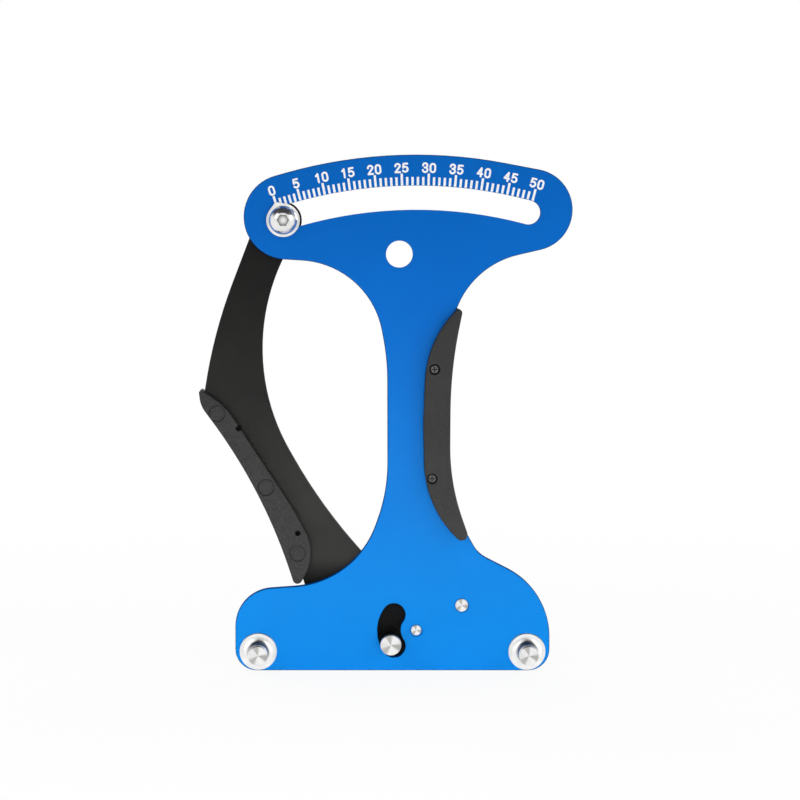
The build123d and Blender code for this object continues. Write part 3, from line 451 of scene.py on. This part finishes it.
def grip_plastic():
    """Moulded grey-black plastic with a spark-eroded skin and a light bloom, and painted shade in its
    grooves.
    """
    material = bpy.data.materials.new("grip_moulding")
    tree = Tree(material)
    coords = tree.coords()
    grain = tree.noise(coords, *GRIP_GRAIN)
    speck = tree.spread(grain, *GRIP_SPECK_SPAN)
    bloom = tree.cloud(coords, GRIP_BLOOM, HIGH_CLOUD_SPAN)
    grained = tree.blend(speck, tree.blend(bloom, *GRIP_BASE), GRIP_SPECK)
    # Painted shade in the grooves, from the grip's own ambient occlusion.
    open_ground = tree.spread(tree.openness(GRIP_REACH), *GRIP_OPEN_SPAN)
    tree.shader(
        Base_Color=tree.blend(open_ground, GRIP_GROOVE_PAINTED_SHADE, grained),
        Roughness=tree.between(speck, GRIP_ROUGHNESS),
        Specular_IOR_Level=GRIP_SPECULAR,
        Normal=tree.bump(grain, *GRIP_RELIEF, tree.soft_edges(GRIP_EDGE_RADIUS)),
    )
    return material


def painted_star_wedges(tree, x, z, radius, steel):
    """Painted reflection: the light and dark wedges that a faced end shows round its centre."""
    angle = tree.math("MULTIPLY", tree.math("ARCTAN2", z, x), STAR_WEDGES)
    wedge = tree.math("COSINE", tree.math("ADD", angle, STAR_TURN))
    on_end = tree.spread(radius, STAR_RADIUS, STAR_RADIUS - STAR_FADE)
    share = tree.math("MULTIPLY", tree.spread(wedge, *STAR_SPAN), on_end)
    # Painted reflection: darker wedges round the centre of the faced end.
    return tree.blend(share, steel, STAR_PAINTED_DARK)


def turned_steel(name, axis, colour=STEEL, polish=POLISH, necked=False, darkened=False):
    """Steel with the rings that a lathe leaves round its axis, with painted shade in its hollows and a
    painted reflection on its faced end. Behind its head, a post may have painted shade on its neck or
    its whole shank."""
    material = bpy.data.materials.new(name)
    tree = Tree(material)
    coords = tree.coords()
    x, _, z = tree.split(tree.vector("SUBTRACT", coords, axis))
    arm = tree.join(x, 0.0, z)
    radius = tree.length(arm)
    round_axis = tree.vector("CROSS_PRODUCT", arm, (0.0, 1.0, 0.0))
    depth = tree.split(coords)[1]
    rings = tree.noise(tree.join(radius, depth, 0.0), *STEEL_RINGS)
    cloud = tree.cloud(coords, STEEL_CLOUD, HIGH_CLOUD_SPAN)
    dim = tuple(STEEL_CLOUD_SHADE * part for part in colour)
    # Painted reflection: wedges on the faced end.
    faced = painted_star_wedges(tree, x, z, radius, tree.blend(cloud, colour, dim))
    # Painted shade in the piece's own hollows.
    open_ground = tree.spread(tree.openness(NECK_REACH), *NECK_OPEN_SPAN)
    shown = tree.blend(open_ground, STEEL_PAINTED_SHADE, faced)
    metallic = 1.0
    if necked or darkened:
        behind_head = tree.spread(depth, POST_HEAD_BACK - POST_FADE, POST_HEAD_BACK)
    if necked:
        slim = tree.spread(radius, *NECK_SPAN)
        # Painted shade on the neck behind the head.
        shown = tree.blend(tree.math("MULTIPLY", behind_head, slim), shown, STEEL_PAINTED_SHADE)
    if darkened:
        # Painted shade: the shank behind the head is dark and not metallic.
        shown = tree.blend(behind_head, shown, SHANK_PAINTED_SHADE)
        metallic = tree.between(behind_head, (1.0, 0.0))
    tree.shader(
        Base_Color=shown,
        Metallic=metallic,
        Specular_IOR_Level=STEEL_SPECULAR,
        Roughness=tree.spread(rings, *LOW_CLOUD_SPAN, polish, polish + RING_ROUGHENING),
        Anisotropic=STEEL_ANISOTROPY,
        Tangent=tree.vector("NORMALIZE", round_axis),
        Normal=tree.bump(rings, *STEEL_RELIEF, tree.soft_edges(STEEL_EDGE_RADIUS)),
    )
    return material


def drawn_wire():
    """Spring wire with the fine streaks of drawing along it."""
    material = bpy.data.materials.new("drawn_wire")
    tree = Tree(material)
    across, along, _ = tree.split(tree.coords("UV"))
    streaks_round = tree.math("MULTIPLY", across, WIRE_STREAKS_ROUND)
    streaks_along = tree.math("MULTIPLY", along, WIRE_STREAKS_ALONG)
    streaks = tree.noise(tree.join(streaks_round, streaks_along, 0.0), *WIRE_STREAKS)
    tree.shader(
        Base_Color=tree.blend(tree.spread(streaks, *HIGH_CLOUD_SPAN), *WIRE_COLOURS),
        Metallic=1.0,
        Roughness=tree.spread(streaks, *LOW_CLOUD_SPAN, *WIRE_ROUGHNESS),
        Normal=tree.bump(streaks, *WIRE_RELIEF),
    )
    return material


def fine_metal(name, colours, roughness, metallic=1.0, specular=METAL_SPECULAR, socket_reach=None):
    """Metal or blacked metal with a fine cloudy finish, and painted shade in sockets of a given reach.
    """
    material = bpy.data.materials.new(name)
    tree = Tree(material)
    coords = tree.coords()
    cloud = tree.cloud(coords, METAL_CLOUD, MIDDLE_CLOUD_SPAN)
    colour = tree.blend(cloud, *colours)
    if socket_reach is not None:
        # Painted shade in the socket.
        open_ground = tree.spread(tree.openness(socket_reach), *SOCKET_OPEN_SPAN)
        colour = tree.blend(open_ground, SOCKET_PAINTED_SHADE, colour)
    grain = tree.noise(coords, *METAL_GRAIN)
    tree.shader(
        Base_Color=colour,
        Metallic=metallic,
        Specular_IOR_Level=specular,
        Roughness=tree.between(cloud, roughness),
        Normal=tree.bump(grain, *METAL_RELIEF, tree.soft_edges(METAL_EDGE_RADIUS)),
    )
    return material


def grip_screw_steel(axes):
    """Steel on the flat of each head, with painted shade in the cross and a painted shadow ring round
    the rim.
    """
    material = bpy.data.materials.new("grip_screw_steel")
    tree = Tree(material)
    coords = tree.coords()
    flat_place = tree.vector("MULTIPLY", coords, (1.0, 0.0, 1.0))
    reaches = [tree.length(tree.vector("SUBTRACT", flat_place, axis)) for axis in axes]
    near_axis = tree.spread(tree.math("MINIMUM", *reaches), *RIM_SHADE_SPAN)
    open_ground = tree.spread(tree.openness(CROSS_SHADE_REACH), *CROSS_SHADE_SPAN)
    # Painted shade everywhere but on the flat: in the cross, and in a ring round the rim.
    unshaded_flat = tree.math("MULTIPLY", near_axis, open_ground)
    cloud = tree.cloud(coords, SCREW_CLOUD, MIDDLE_CLOUD_SPAN)
    tree.shader(
        Base_Color=tree.blend(unshaded_flat, SCREW_PAINTED_SHADE, tree.blend(cloud, *HEAD_FLAT_COLOURS)),
        Metallic=unshaded_flat,
        Specular_IOR_Level=SCREW_SPECULAR,
        Roughness=tree.between(cloud, SCREW_ROUGHNESS),
        Normal=tree.bump(cloud, *SCREW_RELIEF, tree.soft_edges(SCREW_EDGE_RADIUS)),
    )
    return material


def white_print():
    """Screen-printed white ink with a slightly uneven film."""
    material = bpy.data.materials.new("white_ink")
    tree = Tree(material)
    film = tree.cloud(tree.coords(), INK_FILM, LOW_CLOUD_SPAN)
    tree.shader(
        Base_Color=tree.blend(film, *INK_COLOURS),
        Roughness=tree.between(film, INK_ROUGHNESS),
        Normal=tree.bump(film, *INK_RELIEF),
    )
    return material


def finish_nodes():
    """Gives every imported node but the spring, which is built anew, its own finish."""
    blue = blue_paint()
    black = black_paint()
    plastic = grip_plastic()
    ink = white_print()
    bolt = fine_metal("bright_bolt", BOLT_COLOURS, BOLT_ROUGHNESS, socket_reach=BOLT_SOCKET_REACH)
    zinc = fine_metal("zinc_plate", ZINC_COLOURS, ZINC_ROUGHNESS)
    darkened = fine_metal(
        "blacked_steel", BLACKED_COLOURS, BLACKED_ROUGHNESS, metallic=0.0, specular=BLACKED_SPECULAR
    )
    bronze = fine_metal("bush_metal", BRONZE_COLOURS, BRONZE_ROUGHNESS)
    pivot = (PIVOT_X, 0.0, PIVOT_Z)
    pointer = axis_of("pointer_screw")
    finishes = {
        "front_plate": blue,
        "scale_ticks": ink,
        "scale_numerals": ink,
        "fixed_post_left": turned_steel("left_post_steel", axis_of("fixed_post_left"), necked=True),
        "fixed_post_right": turned_steel("right_post_steel", axis_of("fixed_post_right"), necked=True),
        "fixed_post_screws": zinc,
        "pivot_pin": turned_steel("pivot_steel", pivot),
        "pivot_thrust_washer": bronze,
        "spring_retaining_washer": turned_steel("washer_steel", pivot, WASHER_STEEL, WASHER_POLISH),
        "pivot_circlip": darkened,
        "spring_anchor_pin": turned_steel("anchor_steel", axis_of("spring_anchor_pin")),
        "body_grip_front": plastic,
        "body_grip_rear": plastic,
        "body_grip_screws": grip_screw_steel(axes_of_pair("body_grip_screws")),
        "lever_arm": black,
        "lever_bush": bronze,
        "moving_post": turned_steel("moving_post_steel", axis_of("moving_post"), darkened=True),
        "moving_post_screw": zinc,
        "spring_stop_pin": zinc,
        "lever_grip_front": plastic,
        "lever_grip_rear": plastic,
        "lever_grip_screws": darkened,
        "pointer": turned_steel("pointer_steel", pointer, POINTER_STEEL, POINTER_POLISH),
        "pointer_screw": bolt,
        "pointer_spacer": zinc,
        "pointer_washer": turned_steel("rear_washer_steel", pointer, REAR_WASHER_STEEL),
        "pointer_nut": zinc,
    }
    for name, material in finishes.items():
        for material_slot in nodes[name].material_slots:
            material_slot.material = material


# ---------------------------------------------------------------- torsion spring

def spring_facts():
    """The length of the plate's leg, the coil's sweep and how far the coil climbs."""
    pin_x, _, pin_z = axis_of("spring_anchor_pin")
    reach_x = pin_x - PIVOT_X
    reach_z = pin_z - PIVOT_Z
    reach = math.hypot(reach_x, reach_z)
    offset = COIL_RADIUS + WIRE_RADIUS + ANCHOR_PIN_RADIUS + SPRING_REST_GAP
    leg_angle = math.atan2(reach_z, reach_x) + math.asin(offset / reach)
    sweep = (leg_angle - MOVING_LEG_ANGLE - math.pi) % FULL_TURN + COIL_WHOLE_TURNS * FULL_TURN
    climb = COIL_PITCH * (sweep - QUARTER_TURN) / FULL_TURN
    return math.sqrt(reach ** 2 - offset ** 2) + LEG_PAST_PIN, sweep, climb


def coil_depth(turned_by, sweep, climb):
    """How deep the wire lies, with a level start and end that ease over a quarter turn."""
    slope = COIL_PITCH / FULL_TURN
    left = sweep - turned_by
    if turned_by < QUARTER_TURN:
        return COIL_START + slope * turned_by ** 2 / (2 * QUARTER_TURN)
    if left < QUARTER_TURN:
        return COIL_START + climb - slope * left ** 2 / (2 * QUARTER_TURN)
    return COIL_START + slope * (turned_by - QUARTER_TURN / 2)


def spring_line():
    """Points along the wire's middle: the lever's leg, the coil and the plate's leg."""
    plate_leg, sweep, climb = spring_facts()
    start = MOVING_LEG_ANGLE + QUARTER_TURN
    coil = []
    for step in range(COIL_STEPS + 1):
        turned_by = sweep * step / COIL_STEPS
        coil.append(Vector((
            PIVOT_X + COIL_RADIUS * math.cos(start + turned_by),
            coil_depth(turned_by, sweep, climb),
            PIVOT_Z + COIL_RADIUS * math.sin(start + turned_by),
        )))
    end = start + sweep
    start_way = Vector((-math.sin(start), 0.0, math.cos(start)))
    end_way = Vector((-math.sin(end), 0.0, math.cos(end)))
    shares = [step / LEG_STEPS for step in range(LEG_STEPS)]
    front = [coil[0] - start_way * MOVING_LEG_LENGTH * (1 - share) for share in shares]
    rear = [coil[-1] + end_way * plate_leg * (1 - share) for share in reversed(shares)]
    return front + coil + rear


def tube_rings(line, radius):
    """Each ring's middle, direction and radius, with a smaller ring past each end to round it off."""
    rings = []
    last = len(line) - 1
    for index, point in enumerate(line):
        before = line[max(index - 1, 0)]
        after = line[min(index + 1, last)]
        rings.append((point, (after - before).normalized(), radius))
    tip = radius - WIRE_END_ROUND
    middle, way, _ = rings[0]
    rings.insert(0, (middle - way * WIRE_END_ROUND, way, tip))
    middle, way, _ = rings[-1]
    rings.append((middle + way * WIRE_END_ROUND, way, tip))
    return rings


def wire_mesh(name, line, radius):
    """A tube of quads along a line, with the direction across carried from ring to ring."""
    rings = tube_rings(line, radius)
    up = Vector((0.0, 1.0, 0.0))
    vertices = []
    for middle, way, size in rings:
        up = (up - way * up.dot(way)).normalized()
        side = way.cross(up)
        for corner in range(WIRE_SIDES):
            angle = FULL_TURN * corner / WIRE_SIDES
            vertices.append(middle + (up * math.cos(angle) + side * math.sin(angle)) * size)
    faces = []
    for index in range(len(rings) - 1):
        for corner in range(WIRE_SIDES):
            following = (corner + 1) % WIRE_SIDES
            here = index * WIRE_SIDES
            there = here + WIRE_SIDES
            faces.append((here + corner, here + following, there + following, there + corner))
    quads = len(faces)
    faces.append(tuple(reversed(range(WIRE_SIDES))))
    faces.append(tuple(range(len(vertices) - WIRE_SIDES, len(vertices))))
    mesh = bpy.data.meshes.new(name)
    mesh.from_pydata(vertices, [], faces)
    uv = mesh.uv_layers.new(name="along")
    for polygon in mesh.polygons:
        polygon.use_smooth = polygon.index < quads
        for loop in polygon.loop_indices:
            ring, corner = divmod(mesh.loops[loop].vertex_index, WIRE_SIDES)
            uv.data[loop].uv = (corner / WIRE_SIDES, ring / len(rings))
    piece = bpy.data.objects.new(name, mesh)
    bpy.context.scene.collection.objects.link(piece)
    return piece


def build_spring():
    """The coil and its two legs, which twist between the plate and the lever."""
    spring = wire_mesh("coil_spring_wire", spring_line(), WIRE_RADIUS)
    spring.data.materials.append(drawn_wire())
    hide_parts("torsion_spring")
    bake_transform(spring)


# ---------------------------------------------------------------- studio

def add_camera():
    back = Vector((
        math.sin(CAMERA_TURN) * math.cos(CAMERA_RISE),
        -math.cos(CAMERA_TURN) * math.cos(CAMERA_RISE),
        math.sin(CAMERA_RISE),
    ))
    right = Vector((0.0, 0.0, 1.0)).cross(back).normalized()
    up = back.cross(right)
    rolled_right = right * math.cos(CAMERA_ROLL) + up * math.sin(CAMERA_ROLL)
    rolled_up = up * math.cos(CAMERA_ROLL) - right * math.sin(CAMERA_ROLL)
    turn = Matrix((rolled_right, rolled_up, back)).transposed()
    lens = bpy.data.cameras.new("view")
    lens.lens = LENS
    lens.sensor_width = SENSOR
    camera = bpy.data.objects.new("view", lens)
    camera.matrix_world = Matrix.Translation(CAMERA_PLACE) @ turn.to_4x4()
    bpy.context.scene.collection.objects.link(camera)
    bpy.context.scene.camera = camera


def add_lamps():
    for name, spot, target, width, height, power, spread, mirrored in LAMPS:
        light = bpy.data.lights.new(name, "AREA")
        light.shape = "RECTANGLE"
        light.size = width
        light.size_y = height
        light.energy = power
        light.spread = math.radians(spread)
        lamp = bpy.data.objects.new(name, light)
        lamp.visible_glossy = mirrored
        lamp.location = spot
        lamp.rotation_euler = (Vector(target) - Vector(spot)).to_track_quat("-Z", "Y").to_euler()
        bpy.context.scene.collection.objects.link(lamp)


def seen_directly(tree, mirrored=1.0):
    """One for rays that meet the plain white background, and nought for those that only light the
    object; mirrored is how much of it a glossy surface meets."""
    path = tree.add("ShaderNodeLightPath")
    gloss = tree.math("MULTIPLY", path.outputs["Is Glossy Ray"], mirrored)
    shown = tree.math("ADD", path.outputs["Is Camera Ray"], gloss)
    return tree.math("ADD", shown, path.outputs["Is Transmission Ray"], clamp=True)


def light_world():
    """White to the camera, a soft fill on the object, and to glossy surfaces white walls under a dark
    ceiling."""
    world = bpy.data.worlds.new("studio")
    bpy.context.scene.world = world
    tree = Tree(world)
    _, rearward, upward = tree.split(tree.coords("Generated"))
    walls = tree.spread(rearward, *FRONT_SPAN, WORLD_FRONT, 1.0)
    ceiling = tree.spread(upward, *CEILING_SPAN, 1.0, WORLD_CEILING)
    mirrored = tree.math("MULTIPLY", walls, ceiling)
    glossy = tree.add("ShaderNodeLightPath").outputs["Is Glossy Ray"]
    fill = tree.between(glossy, (WORLD_FILL, 0.0))
    background = tree.add("ShaderNodeBackground")
    tree.feed(background.inputs["Color"], WHITE)
    strength = tree.math("ADD", fill, seen_directly(tree, mirrored), clamp=True)
    tree.feed(background.inputs["Strength"], strength)
    output = tree.add("ShaderNodeOutputWorld")
    tree.feed(output.inputs["Surface"], background.outputs[0])


def floor_material():
    """Matt white board. To the camera most of its white is a plain glow, all of it far from the
    object, and the rest takes the object's soft shadow."""
    material = bpy.data.materials.new("studio_floor")
    tree = Tree(material)
    board = tree.add("ShaderNodeBsdfDiffuse")
    tree.feed(board.inputs["Color"], FLOOR_COLOUR)
    glow = tree.add("ShaderNodeEmission")
    away = tree.length(tree.coords())
    glow_share = tree.spread(away, GLOW_NEAR, GLOW_FAR, FLOOR_GLOW, 1.0)
    both = tree.add("ShaderNodeMixShader")
    tree.feed(both.inputs[0], tree.math("MULTIPLY", seen_directly(tree), glow_share))
    tree.feed(both.inputs[1], board.outputs[0])
    tree.feed(both.inputs[2], glow.outputs[0])
    output = tree.add("ShaderNodeOutputMaterial")
    tree.feed(output.inputs["Surface"], both.outputs[0])
    return material


def add_floor(level):
    count = FLOOR_CELLS + 1
    step = FLOOR_SIDE / FLOOR_CELLS
    vertices = [
        (column * step - FLOOR_SIDE / 2, row * step - FLOOR_SIDE / 2, level)
        for row in range(count)
        for column in range(count)
    ]
    faces = [
        (corner, corner + 1, corner + count + 1, corner + count)
        for row in range(FLOOR_CELLS)
        for corner in range(row * count, row * count + FLOOR_CELLS)
    ]
    mesh = bpy.data.meshes.new("floor")
    mesh.from_pydata(vertices, [], faces)
    mesh.materials.append(floor_material())
    floor = bpy.data.objects.new("floor", mesh)
    bpy.context.scene.collection.objects.link(floor)


finish_nodes()
build_spring()
add_floor(cad_box[0][2])
add_camera()
add_lamps()
light_world()
bpy.context.scene.view_settings.view_transform = "Standard"
